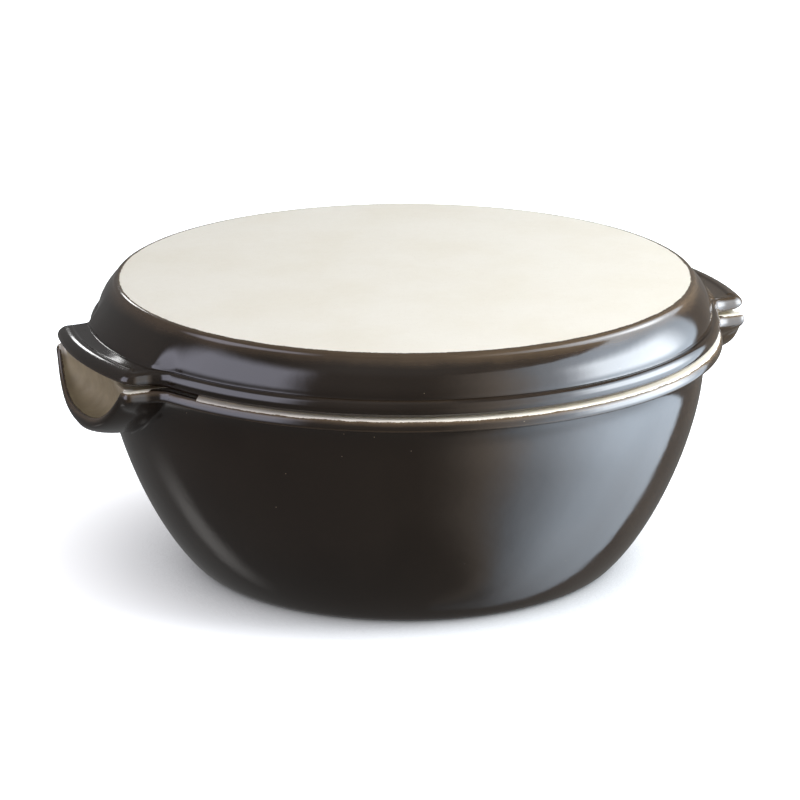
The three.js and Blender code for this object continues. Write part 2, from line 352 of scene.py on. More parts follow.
def bowl_section(p, under):
    """Rings from under the foot to the middle of the bowl's floor.

    The ear is rounder below its lip, so the outer points slide from the plan's outline to
    the rounder one under it, by a smooth step of how far they lie below the widest point.
    The band falls by a rounded share, and the hollow by powers of a sine and a cosine.
    """
    s = Section()
    across = np.minimum(1, np.abs(under["y"]) / EAR["half_width"])
    depth = between(BAND_HEIGHT, EAR_DEPTH, rounded_share(across, EAR_DEPTH_POWER))
    side = np.minimum(1, np.abs(p["y"]) / (EAR["half_width"] - HOLLOW_SIDE))
    hollow = np.where(p["lug"] > 0.5, 1 - side ** HOLLOW_SIDE_POWER, 0)
    dip = HOLLOW_DIP * hollow
    edge_width = between(RIM_EDGE_WIDTH, EAR_EDGE_WIDTH, p["lug"])
    edge_depth = between(RIM_EDGE_DEPTH, EAR_EDGE_DEPTH, p["lug"])
    lip = edge_width + between(RIM_LIP - RIM_EDGE_WIDTH, EAR_LIP - EAR_EDGE_WIDTH,
                               hollow ** HOLLOW_LIP_POWER)
    bite = HOLLOW_EDGE + HOLLOW_BITE * hollow ** HOLLOW_BITE_POWER
    root = RIM_HEIGHT - depth

    foot = column([0, 0.3, 0.6, 0.85, 0.93, 0.96, 0.975, 0.985, 0.993])
    s.add(at_radius(under, foot * FOOT_RADIUS, 0))
    s.mark("foot_edge")
    low = column([0, 0.5, 1, 1.5, 2.2, 3.2]) * MM
    s.add(at_radius(under, wall_radius(low[:1]), low[:1]))
    s.mark("foot")
    s.add(at_radius(under, wall_radius(low[1:]), low[1:]))
    body = between(4.5 * MM, root - 4 * MM, column(np.linspace(0, 1, 34)))
    s.add(at_radius(under, wall_radius(body), body))
    neck = root - column([3.2, 2.4, 1.7, 1.1, 0.5, 0]) * MM
    s.add(at_radius(under, wall_radius(neck), neck))
    s.mark("root")

    fall = 1 - column(np.linspace(0, 1, 25)[1:]) ** 2
    widest = RIM_HEIGHT - dip - edge_depth
    reach = rounded_share(fall, *BAND_POWERS)
    z = between(widest, root, fall)
    slide = np.clip((widest - z) / EAR_UNDER_DROP, 0, 1)
    slide = (slide ** 2 * (3 - 2 * slide))[..., None]
    wall = at_radius(under, wall_radius(root), z)
    edge = between(inside(p, 0, z), inside(under, 0, z), slide)
    s.add(between(wall, edge, reach[..., None]))
    turn = quarter_turn(9)
    edge = [inside(p, edge_width * (1 - np.cos(t)), widest + edge_depth * np.sin(t)) for t in turn]
    s.add(edge[1:7])
    s.mark("glaze_line")
    s.add(edge[7:])
    s.mark("rim_edge")
    s.add(inside(p, between(edge_width, lip, column([0.33, 0.66])), RIM_HEIGHT - dip))
    s.mark("lip")
    turn = eased(20, 0, np.pi / 2)
    undercut = HOLLOW_UNDERCUT * hollow * np.sin(2 * turn)
    s.add(inside(p, lip + bite * np.sin(turn) ** HOLLOW_CURVE_POWER + undercut,
                 RIM_HEIGHT - dip * np.maximum(0, np.cos(turn)) ** HOLLOW_CURVE_POWER))
    s.mark("land")

    inner_end = s.rings[-1]
    bead_foot = at_radius(p, BEAD_OUTER, RIM_HEIGHT)
    share = column([0.15, 0.3, 0.45, 0.6, 0.75, 0.88, 0.95, 1])[..., None]
    s.add(between(inner_end[None], bead_foot[None], share))
    top = RIM_HEIGHT + BEAD_HEIGHT
    s.add(at_radius(p, BEAD_OUTER, between(RIM_HEIGHT, top - BEAD_ROUND, column([0.5, 1]))))
    turn = quarter_turn(4)[1:]
    s.add(at_radius(p, BEAD_OUTER - BEAD_ROUND * (1 - np.cos(turn)),
                    top - BEAD_ROUND * (1 - np.sin(turn))))
    bore_top = NECK_RADIUS - WALL
    bead_top = between(BEAD_OUTER - BEAD_ROUND, bore_top + BEAD_ROUND, column([0.5, 1]))
    s.add(at_radius(p, bead_top, top))
    s.add(at_radius(p, bore_top + BEAD_ROUND * (1 - np.sin(turn)),
                    top - BEAD_ROUND * (1 - np.cos(turn))))
    s.mark("bead_edge")
    throat = between(top - BEAD_ROUND, NECK_HEIGHT, column([0.08, 0.2, 0.4, 0.7, 1]))
    s.add(at_radius(p, bore_top, throat))
    bore = between(NECK_HEIGHT, BOWL_FLOOR, eased(30)[1:])
    s.add(at_radius(p, bore_radius(bore), bore))
    s.mark("corner")
    floor = column([0.99, 0.975, 0.955, 0.93, 0.9, 0.8, 0.6, 0.3, 0])
    s.add(at_radius(p, floor * (FOOT_RADIUS - BOWL_CORNER), BOWL_FLOOR))
    return s


bowl_rings = bowl_section(bowl_plan, under_plan)
print("bowl stations", len(bowl_rings.rings), bowl_rings.marks)

# %% [markdown]
# The lid is a shallow pan upside down. From its ceiling the section runs down inside to the
# seat, round the flange, up the belly and over a narrow shoulder to the flat disc. On a lug
# the flange is drawn out to a tab with a slightly hollow top, and the belly flares a little
# to meet it.

# %% Lid surface
def lid_section(p):
    """Rings from the middle of the ceiling to the middle of the disc.

    Corners are quarter turns, the belly bulges by 1 minus a squared share, and on a tab the
    shelf sags by half a sine while its edge is raised by how far the outline faces outward.
    """
    s = Section()
    lug = p["lug"]
    ceiling = LID_TOP - LID_FLOOR
    flange_top = LID_SEAT + FLANGE_HEIGHT
    shoulder = DISC_RADIUS + SHOULDER_WIDTH
    shoulder_z = LID_TOP - SHOULDER_DROP
    tip = lug * np.abs(p["nx"])
    angle = np.arctan2(np.abs(p["y"]), np.abs(p["x"]))
    flare = np.clip((TAB_FLARE_END - angle) / (TAB_FLARE_END - TAB_FLARE_START), 0, 1)
    flare = flare ** 2 * (3 - 2 * flare)
    root_z = flange_top + TAB_RISE * flare
    root = shoulder + BELLY_BULGE + TAB_ROOT * flare
    rounding = between(FLANGE_ROUND, TAB_ROUND, tip)
    flange_foot = LID_SEAT + FLANGE_LIFT + TAB_LIFT * lug

    s.add(at_radius(p, column([0, 0.3, 0.6, 0.8, 0.9, 0.96]) * (SEAT_INNER - LID_CORNER), ceiling))
    turn = eased(22, 0, np.pi / 2)
    s.add(at_radius(p, between(SEAT_INNER - LID_CORNER, SEAT_INNER, np.sin(turn) ** CEILING_POWER),
                    between(LID_SEAT, ceiling, np.maximum(0, np.cos(turn)) ** CEILING_POWER)))
    s.mark("seat_inner")
    s.add(at_radius(p, SEAT_INNER + SEAT_WIDTH * column([0.1, 0.3, 0.5, 0.7, 0.85, 1]), LID_SEAT))
    seat_end = s.rings[-1]
    undercut = FLANGE_UNDERCUT_SHARE * rounding
    under = inside(p, undercut, flange_foot)
    share = column([0.2, 0.4, 0.6, 0.8, 0.92])[..., None]
    s.add(between(seat_end[None], under[None], share))
    s.mark("seat_edge")
    widest = between(LID_SEAT + FLANGE_LIFT, flange_top, FLANGE_WIDEST_SHARE)
    turn = quarter_turn(9)
    s.add(inside(p, undercut * (1 - np.sin(turn)), between(widest, flange_foot, np.cos(turn))))
    ridge_z = flange_top + TAB_LIP_RISE * tip
    turn = quarter_turn(9)[1:]
    rounding = between(FLANGE_ROUND, TAB_RIDGE_ROUND, tip)
    s.add(inside(p, rounding * (1 - np.cos(turn)), between(widest, ridge_z, np.sin(turn))))
    s.mark("ridge")

    ridge = s.rings[-1]
    foot = at_radius(p, root, root_z)
    share = column([0.04, 0.08, 0.12, 0.16, 0.2, 0.26, 0.35, 0.5, 0.65, 0.8, 0.9, 0.96, 1])
    shelf = between(ridge[None], foot[None], share[..., None])
    drop = np.clip(share / TAB_LIP_SHARE, 0, 1)
    drop = drop ** 2 * (3 - 2 * drop) * (1 - share)
    shelf[..., 2] -= tip * (TAB_LIP_DROP * drop + TAB_SAG * np.sin(np.pi * share))
    s.add(shelf)
    s.mark("root")
    share = column(np.concatenate([[0, 0.03, 0.06], np.linspace(0.1, 0.94, 18), [0.965, 0.985, 1]]))
    spread = TAB_ROOT * flare * (1 - share) ** 3
    s.add(at_radius(p, shoulder + BELLY_BULGE * (1 - share ** 2) + spread,
                    between(root_z + GROOVE, shoulder_z, share)))
    s.mark("shoulder")
    turn = quarter_turn(8)[1:]
    s.add(at_radius(p, shoulder - SHOULDER_WIDTH * (1 - np.cos(turn)),
                    LID_TOP - SHOULDER_DROP * (1 - np.sin(turn))))
    s.mark("disc_edge")
    disc = column([0.998, 0.994, 0.985, 0.96, 0.9, 0.75, 0.5, 0.25, 0])
    s.add(at_radius(p, disc * DISC_RADIUS, LID_TOP))
    return s


lid_rings = lid_section(lid_plan)
print("lid stations", len(lid_rings.rings), lid_rings.marks)

# %% [markdown]
# Clay is never as sharp as a drawing. Where the section has an angle, such as under the
# band or in the groove above the flange, its points are relaxed a little, so that light
# runs round the edge and the glaze can gather in the hollow.

# %% Soften the angles
bowl_points = bowl_rings.points()
for name, reach, rounds in (("foot", 4, 10), ("root", 3, 4), ("rim_edge", 2, 2),
                            ("land", 3, 3), ("corner", 8, 60)):
    soften(bowl_points, bowl_rings.marks[name], reach, rounds)
lid_points = lid_rings.points()
for name, reach, rounds in (("ridge", 1, 1), ("root", 1, 1), ("shoulder", 3, 4),
                            ("disc_edge", 2, 2)):
    soften(lid_points, lid_rings.marks[name], reach, rounds)
bowl_points[..., 2] = np.clip(bowl_points[..., 2], 0, bowl_high.z)
lid_points[..., 2] = np.clip(lid_points[..., 2], lid_low.z, lid_high.z)
print("bowl reaches", np.abs(bowl_points).max((0, 1)).round(4))

# %% [markdown]
# The finish needs to know things about the surface that a texture can't see, so they are
# worked out here and stored on the points. A bare zone is a stretch of the section from
# which the glaze was wiped. The glaze beside it is thin over some width, where it lets the
# brown show, and it also runs thin over sharp bends. The scooped ears were wiped too, and
# a shade is painted on their clay: tan that deepens below the rim in the scoop, and on the
# land under the lid's tab but for a lit strip along its outer edge.

# %% Where the clay is bare, where the glaze is thin and where shade is painted
def distance_along(points):
    """Distance along each section from its first ring to every other."""
    step = np.linalg.norm(np.diff(points, axis=0), axis=-1)
    return np.vstack([np.zeros((1, step.shape[1])), np.cumsum(step, axis=0)])


def bare_distance(points, zones, delay=0.0):
    """Distance along the section from the nearest end of a bare zone, positive inside it.
    A delay moves the start of the zones on, where the glaze runs further."""
    along = distance_along(points)
    far = np.full_like(along, -1.0)
    open_end = np.full_like(along, 1.0)
    for start, end, _, _ in zones:
        from_start = open_end if start is None else along - along[start] - delay
        to_end = open_end if end is None else along[end] - along
        far = np.maximum(far, np.minimum(from_start, to_end))
    return far


def thinness(points, zones):
    """1 at the end of a bare zone, falling evenly to 0 over the zone's width of thin glaze."""
    along = distance_along(points)
    thin = np.zeros_like(along)
    for start, end, width_before, width_after in zones:
        if start is not None:
            share = 1 - (along[start] - along) / width_before
            thin = np.maximum(thin, np.where(along <= along[start], share, 0))
        if end is not None:
            share = 1 - (along - along[end]) / width_after
            thin = np.maximum(thin, np.where(along >= along[end], share, 0))
    return np.clip(thin, 0, 1)


def bulge(points):
    """How fast the outward normal turns, in radians for each metre, along and round."""
    along = np.gradient(points, axis=0)
    around = (np.roll(points, -1, axis=1) - np.roll(points, 1, axis=1)) / 2
    normal = np.cross(around, along)
    normal /= np.linalg.norm(normal, axis=-1, keepdims=True) + 1e-12
    turn_along = (np.gradient(normal, axis=0) * along).sum(-1) / ((along ** 2).sum(-1) + 1e-12)
    turn_round = np.roll(normal, -1, axis=1) - np.roll(normal, 1, axis=1)
    turn_round = (turn_round / 2 * around).sum(-1) / ((around ** 2).sum(-1) + 1e-12)
    total = turn_along + turn_round
    for _ in range(3):
        total[1:-1] = (total[:-2] + 2 * total[1:-1] + total[2:]) / 4
    return total


def paint_scoop_shade(points, marks, lug):
    """Painted shade: 1 in the scooped hollows, between lip and land, by how far a point lies
    below the rim. The flat land of the ears under the lid's tabs is shaded too, but for a lit
    strip along its outer edge."""
    depth = (RIM_HEIGHT - points[..., 2]) / SHADE_FADE
    ring = np.arange(len(points))[:, None]
    scooped = (ring >= marks["glaze_line"]) & (ring <= marks["land"])
    along = distance_along(points)
    back = (along - along[marks["lip"]] - LAND_SHADE_START) / (LAND_SHADE_FULL - LAND_SHADE_START)
    land = LAND_SHADE * np.clip(back, 0, 1) * np.clip(2 * lug, 0, 1)
    land = np.where((ring > marks["lip"]) & (ring < marks["bead_edge"]), land, 0)
    return np.maximum(land, np.where(scooped, np.clip(depth, 0, 1), 0))


def glaze_runs(p):
    """How much further the glaze runs: over the lip of each scoop and at the ears' roots."""
    scoop = np.clip(RIM_HEIGHT - bowl_points[bowl_rings.marks["lip"], :, 2], 0, 3 * MM) / (3 * MM)
    angle = np.degrees(np.arctan2(np.abs(p["y"]), np.abs(p["x"])))
    drip = np.interp(angle, DRIP_ANGLES, (0, 1, 1, 0))
    return GLAZE_OVER_LIP * scoop + DRIP * drip


# Each zone: first ring, last ring, and the widths of thin glaze before and after it.
bowl_zones = [(None, bowl_rings.marks["foot_edge"] - 2, 4 * MM, 4 * MM),
              (bowl_rings.marks["glaze_line"], bowl_rings.marks["bead_edge"], 3 * MM, 4 * MM)]
lid_zones = [(lid_rings.marks["seat_inner"], lid_rings.marks["seat_edge"], 4 * MM, 3.5 * MM),
             (lid_rings.marks["disc_edge"], None, 11 * MM, 11 * MM)]
# The last layer holds the painted shade of the scoops and of the land under the tabs.
bowl_layers = {"bare": bare_distance(bowl_points, bowl_zones, glaze_runs(bowl_plan)),
               "thin": thinness(bowl_points, bowl_zones),
               "bulge": bulge(bowl_points),
               "painted_shade": paint_scoop_shade(bowl_points, bowl_rings.marks, bowl_plan["lug"])}
lid_layers = {"bare": bare_distance(lid_points, lid_zones),
              "thin": thinness(lid_points, lid_zones),
              "bulge": bulge(lid_points),
              "painted_shade": np.zeros(lid_points.shape[:2])}
print("strongest bulge", bowl_layers["bulge"].max().round(), lid_layers["bulge"].max().round())

# %% [markdown]
# A grid of rings becomes a mesh of four-sided faces that joins its last column to its first.
# The first and the last ring shrink to one point on the axis, so they become one vertex each
# with a fan of triangles. The faces are listed so that they look outwards.

# %% From rings to a mesh
def mesh_from_rings(name, points, layers):
    """One closed skin: a vertex on the axis, the rings between, and another on the axis."""
    count, around, _ = points.shape
    rings = points[1:-1]
    vertices = np.vstack([points[0].mean(0), rings.reshape(-1, 3), points[-1].mean(0)])
    index = 1 + np.arange((count - 2) * around).reshape(count - 2, around)
    right = np.roll(index, -1, axis=1)
    quads = np.stack([index[:-1], right[:-1], right[1:], index[1:]], -1).reshape(-1, 4)
    last = len(vertices) - 1
    start = np.stack([np.zeros(around, int), right[0], index[0]], -1)
    end = np.stack([np.full(around, last), index[-1], right[-1]], -1)
    mesh = bpy.data.meshes.new(name)
    mesh.from_pydata(vertices.tolist(), [], quads.tolist() + start.tolist() + end.tolist())
    for layer, values in layers.items():
        flat = np.concatenate([[values[0].mean()], values[1:-1].ravel(), [values[-1].mean()]])
        attribute = mesh.attributes.new(layer, "FLOAT", "POINT")
        attribute.data.foreach_set("value", flat.astype(np.float32))
    mesh.shade_smooth()
    mesh.validate()
    mesh.update()
    print(name, len(vertices), "vertices,", len(quads) * 2 + 2 * around, "triangles")
    return mesh


def dressed_piece(name, points, layers, node, body):
    """The finished piece in place of its plain solid, riding on the same body."""
    mesh = mesh_from_rings(name, points, layers)
    piece = bpy.data.objects.new(name, mesh)
    bpy.context.collection.objects.link(piece)
    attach(piece, body)
    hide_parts(node)
    return piece


bowl = dressed_piece("bowl_casting", bowl_points, bowl_layers, "bowl", "bowl_body")
lid = dressed_piece("lid_casting", lid_points, lid_layers, "lid", "lid_body")

# %% [markdown]
# The finish. The same clay and glaze are on both pieces, so one material covers both: cream
# bisque where the surface is bare, and a dark, almost black gloss glaze elsewhere. The line
# between them follows the stored distance, made ragged by a fine noise as a wiped edge is.
# Small helpers keep the node tree readable.

# %% Helpers for the node tree
class Tree:
    """A material's node tree with short ways to add and join nodes."""

    def __init__(self, name):
        self.material = bpy.data.materials.new(name)
        self.material.use_nodes = True
        self.nodes = self.material.node_tree.nodes
        self.links = self.material.node_tree.links
        self.nodes.clear()

    def node(self, kind, **settings):
        """A new shader node of that kind with its settings."""
        made = self.nodes.new("ShaderNode" + kind)
        for key, value in settings.items():
            setattr(made, key, value)
        return made

    def join(self, source, target):
        """Link a source socket to a target socket, or write a plain value into it."""
        if isinstance(source, bpy.types.NodeSocket):
            self.links.new(source, target)
        elif source is not None:
            target.default_value = source

    def stored(self, layer):
        """The value that a layer keeps on the points."""
        return self.node("Attribute", attribute_name=layer).outputs["Fac"]

    def maths(self, operation, a, b=None, clamp=False):
        """One sum, product or comparison of two values."""
        made = self.node("Math", operation=operation, use_clamp=clamp)
        self.join(a, made.inputs[0])
        self.join(b, made.inputs[1])
        return made.outputs[0]

    def steps(self, value, low, high, to_low=0.0, to_high=1.0):
        """A smooth step from to_low to to_high as the value goes from low to high."""
        made = self.node("MapRange", interpolation_type="SMOOTHSTEP")
        for socket, content in zip(made.inputs, (value, low, high, to_low, to_high)):
            self.join(content, socket)
        return made.outputs[0]

    def blend(self, share, a, b):
        """A colour between a and b, by a share."""
        made = self.node("Mix", data_type="RGBA")
        for socket, content in zip((0, 6, 7), (share, a, b)):
            self.join(content, made.inputs[socket])
        return made.outputs[2]

    def mix(self, share, a, b):
        """A plain value between a and b, by a share."""
        made = self.node("Mix", data_type="FLOAT")
        for socket, content in zip((0, 2, 3), (share, a, b)):
            self.join(content, made.inputs[socket])
        return made.outputs[0]

    def noise(self, place, per_metre, detail=3.0, roughness=0.5):
        """Clouds that vary smoothly round a half, so many to a metre."""
        made = self.node("TexNoise")
        self.join(place, made.inputs["Vector"])
        made.inputs["Scale"].default_value = per_metre
        made.inputs["Detail"].default_value = detail
        made.inputs["Roughness"].default_value = roughness
        return made.outputs["Fac"]

    def dots(self, place, per_metre, share, size):
        """Round dots: near the middle of a share of the cells of a Voronoi pattern."""
        cells = self.node("TexVoronoi")
        self.join(place, cells.inputs["Vector"])
        cells.inputs["Scale"].default_value = per_metre
        picked = self.node("SeparateColor")
        self.join(cells.outputs["Color"], picked.inputs[0])
        chosen = self.maths("LESS_THAN", picked.outputs[0], share)
        near = self.steps(cells.outputs["Distance"], 0.5 * size, size, 1.0, 0.0)
        return self.maths("MULTIPLY", chosen, near)


# %% [markdown]
# The glaze is dark brown glass over cream clay: nearly black where it is thick, and warm
# brown where it has run thin, at its own edge and over sharp bends. The same brown is also
# painted towards the right ear as painted light, where the lamps on the right fall. A light
# line marks its very end, and small pale specks are pinholes. A flat colour would look like
# plastic, so each of these has its own share.

# %% Colour of the glaze
GLAZE_DARK = (0.0120, 0.0072, 0.0040, 1)
GLAZE_DEEP = (0.0180, 0.0115, 0.0070, 1)
# Brown of thin glaze, also used as painted light on the right side.
GLAZE_THIN_AND_LIT = (0.078, 0.051, 0.029, 1)
GLAZE_LINE = (0.150, 0.100, 0.058, 1)
PINHOLE = (0.34, 0.25, 0.15, 1)
LIGHT_LINE = (0.1 * MM, 0.9 * MM)
# Painted light: where along X the glaze is painted browner towards the right ear, and how far that
# wanders.
PAINTED_LIGHT_SIDE = (115 * MM, 185 * MM)
PAINTED_LIGHT_WANDER = 50 * MM


def glaze_colour(t, place, edge, pinholes):
    """Dark to deep brown in clouds, then towards thin brown by the largest of three shares,
    from the stored thinness, from the place along X, which paints light towards the right
    ear, and from the stored bulge."""
    thin, bulged = t.stored("thin"), t.stored("bulge")
    patch = t.noise(place, 38, 4, 0.6)
    runs = t.maths("MULTIPLY", t.maths("SUBTRACT", patch, 0.5), 0.55)
    near_edge = t.steps(t.maths("ADD", thin, runs), 0.12, 0.80, 0.0, 0.85)
    near_edge = t.maths("MULTIPLY", near_edge, t.steps(thin, 0.0, 0.25))
    lit_side_x = t.node("SeparateXYZ")
    t.join(place, lit_side_x.inputs[0])
    lit_side_x = t.maths("ADD", lit_side_x.outputs["X"], t.maths("MULTIPLY", patch, PAINTED_LIGHT_WANDER))
    # Painted light: browner towards the right ear, where the lamps on the right fall.
    painted_light_side = t.steps(lit_side_x, *PAINTED_LIGHT_SIDE, 0.0, 0.55)
    bend = t.maths("MULTIPLY", bulged, t.maths("ADD", patch, 0.4))
    over_bend = t.steps(bend, 260, 800, 0.0, 0.5)
    thin_and_lit = t.maths("MAXIMUM", near_edge, painted_light_side)
    thin_and_lit = t.maths("MAXIMUM", thin_and_lit, over_bend, clamp=True)

    cloud = t.steps(t.noise(place, 14, 3), 0.38, 0.66)
    colour = t.blend(cloud, GLAZE_DARK, GLAZE_DEEP)
    colour = t.blend(thin_and_lit, colour, GLAZE_THIN_AND_LIT)
    line = t.steps(t.maths("MULTIPLY", edge, -1.0), *LIGHT_LINE, 1.0, 0.0)
    colour = t.blend(line, colour, GLAZE_LINE)
    return t.blend(pinholes, colour, PINHOLE)


# %% [markdown]
# The bare clay is matt cream, a little darker in drifts, with darker grains in it. In the
# scooped ears and on the land under the tabs a shade is painted on it in tan.

# %% Colour of the clay
CLAY_PALE = (0.745, 0.688, 0.585, 1)
CLAY_WARM = (0.720, 0.658, 0.545, 1)
CLAY_GRAIN = (0.560, 0.470, 0.340, 1)
# Tan colours of the painted shade in the scoops and under the tabs.
CLAY_SHADE_TAN = (0.272, 0.215, 0.120, 1)
CLAY_SHADE_TAN_DARK = (0.198, 0.153, 0.083, 1)


def clay_colour(t, place):
    """Pale to warm cream in drifts, then towards the grains, then to tan by the painted shade."""
    cream = t.blend(t.steps(t.noise(place, 22, 3), 0.35, 0.7), CLAY_PALE, CLAY_WARM)
    grain = t.steps(t.noise(place, 1500, 2), 0.60, 0.78, 0.0, 0.35)
    cream = t.blend(grain, cream, CLAY_GRAIN)
    # Painted shade: tan in the scoops and under the tabs, by the stored share.
    scoop_shade_colour = t.blend(t.steps(t.noise(place, 60, 3), 0.35, 0.65), CLAY_SHADE_TAN, CLAY_SHADE_TAN_DARK)
    return t.blend(t.steps(t.stored("painted_shade"), 0.05, 0.9), cream, scoop_shade_colour)


# %% [markdown]
# A glossy surface is never quite flat, and its waves are what makes a reflection look real.
# The glaze has slow waves, a fine ripple and a pit at each pinhole. The clay is sandy. The
# glaze is a coat on the clay, so the surface steps down where it ends.

# %% Waves, sand and the coat's edge
WAVE_HEIGHT = 0.10 * MM
RIPPLE_HEIGHT = 0.012 * MM
PIT_DEPTH = 0.10 * MM
SAND_HEIGHT = 0.07 * MM
COAT_HEIGHT = 0.25 * MM
COAT_SLOPE = (-0.5 * MM, 0.05 * MM)


def surface_height(t, place, edge, clay_share, pinholes):
    """Waves plus ripple less pits on the glaze, sand on the clay, and the coat's slope."""
    waves = t.maths("MULTIPLY", t.noise(place, 70, 2), WAVE_HEIGHT)
    ripple = t.maths("MULTIPLY", t.noise(place, 420, 2), RIPPLE_HEIGHT)
    pits = t.maths("MULTIPLY", pinholes, -PIT_DEPTH)
    wet = t.maths("ADD", t.maths("ADD", waves, ripple), pits)
    sand = t.maths("MULTIPLY", t.noise(place, 1300, 3, 0.6), SAND_HEIGHT)
    coat = t.steps(edge, *COAT_SLOPE, COAT_HEIGHT, 0.0)
    return t.maths("ADD", t.mix(clay_share, wet, sand), coat)


# %% [markdown]
# Now the three are put together. Gloss is the glaze's main feature, so its roughness is low
# and only drifts a little, and its index of refraction is that of a dense glass.

# %% Glazed stoneware
GLAZE_IOR = 1.6
GLAZE_ROUGHNESS = (0.075, 0.13)
CLAY_ROUGHNESS = (0.62, 0.78)
EDGE_RAGGED = 1.3 * MM
EDGE_DRIFT = 1.2 * MM
EDGE_SOFT = 0.10 * MM


def glazed_stoneware(name):
    """Clay where the stored distance, made ragged, is past the line, and glaze before it."""
    t = Tree(name)
    place = t.node("TexCoord").outputs["Object"]
    ragged = t.maths("MULTIPLY", t.maths("SUBTRACT", t.noise(place, 900, 4, 0.6), 0.5), EDGE_RAGGED)
    drift = t.maths("MULTIPLY", t.maths("SUBTRACT", t.noise(place, 110, 2), 0.5), EDGE_DRIFT)
    edge = t.maths("ADD", t.stored("bare"), t.maths("ADD", ragged, drift))
    clay_share = t.steps(edge, -EDGE_SOFT, EDGE_SOFT)
    pinholes = t.maths("MAXIMUM", t.dots(place, 95, 0.06, 0.030), t.dots(place, 260, 0.05, 0.055))

    surface = t.node("BsdfPrincipled")
    surface.inputs["IOR"].default_value = GLAZE_IOR
    glaze, clay = glaze_colour(t, place, edge, pinholes), clay_colour(t, place)
    t.join(t.blend(clay_share, glaze, clay), surface.inputs["Base Color"])
    gloss = t.steps(t.noise(place, 30, 3), 0.3, 0.7, *GLAZE_ROUGHNESS)
    matt = t.steps(t.noise(place, 260, 2), 0.3, 0.7, *CLAY_ROUGHNESS)
    t.join(t.mix(clay_share, gloss, matt), surface.inputs["Roughness"])
    bump = t.node("Bump")
    bump.inputs["Distance"].default_value = 1.0
    bump.inputs["Strength"].default_value = 1.0
    t.join(surface_height(t, place, edge, clay_share, pinholes), bump.inputs["Height"])
    t.join(bump.outputs[0], surface.inputs["Normal"])
    out = t.node("OutputMaterial")
    t.join(surface.outputs[0], out.inputs["Surface"])
    print("finish", name, "with", len(t.nodes), "nodes")
    return t.material


stoneware = glazed_stoneware("glazed_stoneware")
for piece in (bowl, lid):
    piece.data.materials.append(stoneware)

# %% [markdown]
# The stage. The floor is white to the camera and keeps the pot's shadow. Near the pot, where
# little of the room reaches it, a shadow is painted: its paint and its own glow grow darker.
# Other rays pass through it, so the gloss mirrors the lamps alone. The world is white behind
# the pot and dim for everything that lights it, dimmer below the horizon.

# %% Floor and world
FLOOR_HALF = 12.0
FLOOR_GLOW = 0.84
FLOOR_SHADE_REACH = 0.08
FLOOR_PAINT = (1.0, 1.0, 1.0, 1)
# Dark paint near the pot: a painted shadow.
FLOOR_PAINTED_SHADOW = (0.10, 0.10, 0.10, 1)
ROOM_GLOW_ABOVE = 0.24
ROOM_GLOW_BELOW = 0.16
ROOM_HORIZON = (-0.4, 0.3)


def camera_only(t, seen, others):
    """Show one shader to the camera and another to every other ray."""
    pick = t.node("MixShader")
    t.join(t.node("LightPath").outputs["Is Camera Ray"], pick.inputs[0])
    t.join(others, pick.inputs[1])
    t.join(seen, pick.inputs[2])
    return pick.outputs[0]


def white_floor():
    """A large square at the foot's height, seen by the camera alone."""
    t = Tree("white_floor")
    # Painted shadow: the occlusion share darkens the paint and the glow close to the pot.
    near = t.node("AmbientOcclusion", samples=8)
    near.inputs["Distance"].default_value = FLOOR_SHADE_REACH
    paint = t.node("BsdfDiffuse")
    t.join(t.blend(near.outputs["AO"], FLOOR_PAINTED_SHADOW, FLOOR_PAINT), paint.inputs["Color"])
    glow = t.node("Emission")
    t.join(t.maths("MULTIPLY", near.outputs["AO"], FLOOR_GLOW), glow.inputs["Strength"])
    both = t.node("AddShader")
    t.join(paint.outputs[0], both.inputs[0])
    t.join(glow.outputs[0], both.inputs[1])
    out = t.node("OutputMaterial")
    t.join(camera_only(t, both.outputs[0], t.node("BsdfTransparent").outputs[0]),
           out.inputs["Surface"])
    mesh = bpy.data.meshes.new("floor")
    side = FLOOR_HALF
    mesh.from_pydata([(-side, -side, 0), (side, -side, 0), (side, side, 0), (-side, side, 0)],
                     [], [(0, 1, 2, 3)])
    mesh.materials.append(t.material)
    floor = bpy.data.objects.new("floor", mesh)
    bpy.context.collection.objects.link(floor)
    return floor


def dim_room():
    """White to the camera. To other rays, a glow that follows the height they come from."""
    world = bpy.data.worlds.new("room")
    world.use_nodes = True
    nodes, links = world.node_tree.nodes, world.node_tree.links
    nodes.clear()
    shades = []
    for strength in (ROOM_GLOW_ABOVE, 1.0):
        shade = nodes.new("ShaderNodeBackground")
        shade.inputs["Color"].default_value = (1, 1, 1, 1)
        shade.inputs["Strength"].default_value = strength
        shades.append(shade)
    way, height = nodes.new("ShaderNodeTexCoord"), nodes.new("ShaderNodeSeparateXYZ")
    level = nodes.new("ShaderNodeMapRange")
    for socket, value in zip(level.inputs[1:5], (*ROOM_HORIZON, ROOM_GLOW_BELOW, ROOM_GLOW_ABOVE)):
        socket.default_value = value
    links.new(way.outputs["Generated"], height.inputs[0])
    links.new(height.outputs["Z"], level.inputs[0])
    links.new(level.outputs[0], shades[0].inputs["Strength"])
    path, pick = nodes.new("ShaderNodeLightPath"), nodes.new("ShaderNodeMixShader")
    out = nodes.new("ShaderNodeOutputWorld")
    links.new(path.outputs["Is Camera Ray"], pick.inputs[0])
    links.new(shades[0].outputs[0], pick.inputs[1])
    links.new(shades[1].outputs[0], pick.inputs[2])
    links.new(pick.outputs[0], out.inputs["Surface"])
    bpy.context.scene.world = world
    return world


white_floor()
dim_room()

# %% [markdown]
# A glossy dark pot shows its lamps more than its own colour, so their shapes matter. Each
# lamp that the gloss mirrors is a mesh that glows by a value stored on its points, so that
# it can fade out at its border as a soft box does. It is a patch of a ball round the pot,
# because two angles are then enough to say where on the glaze it shows.

# %% Lamps made of meshes
PANEL_WARM, PANEL_COOL = (1.0, 0.86, 0.74, 1), (0.82, 0.97, 1.14, 1)


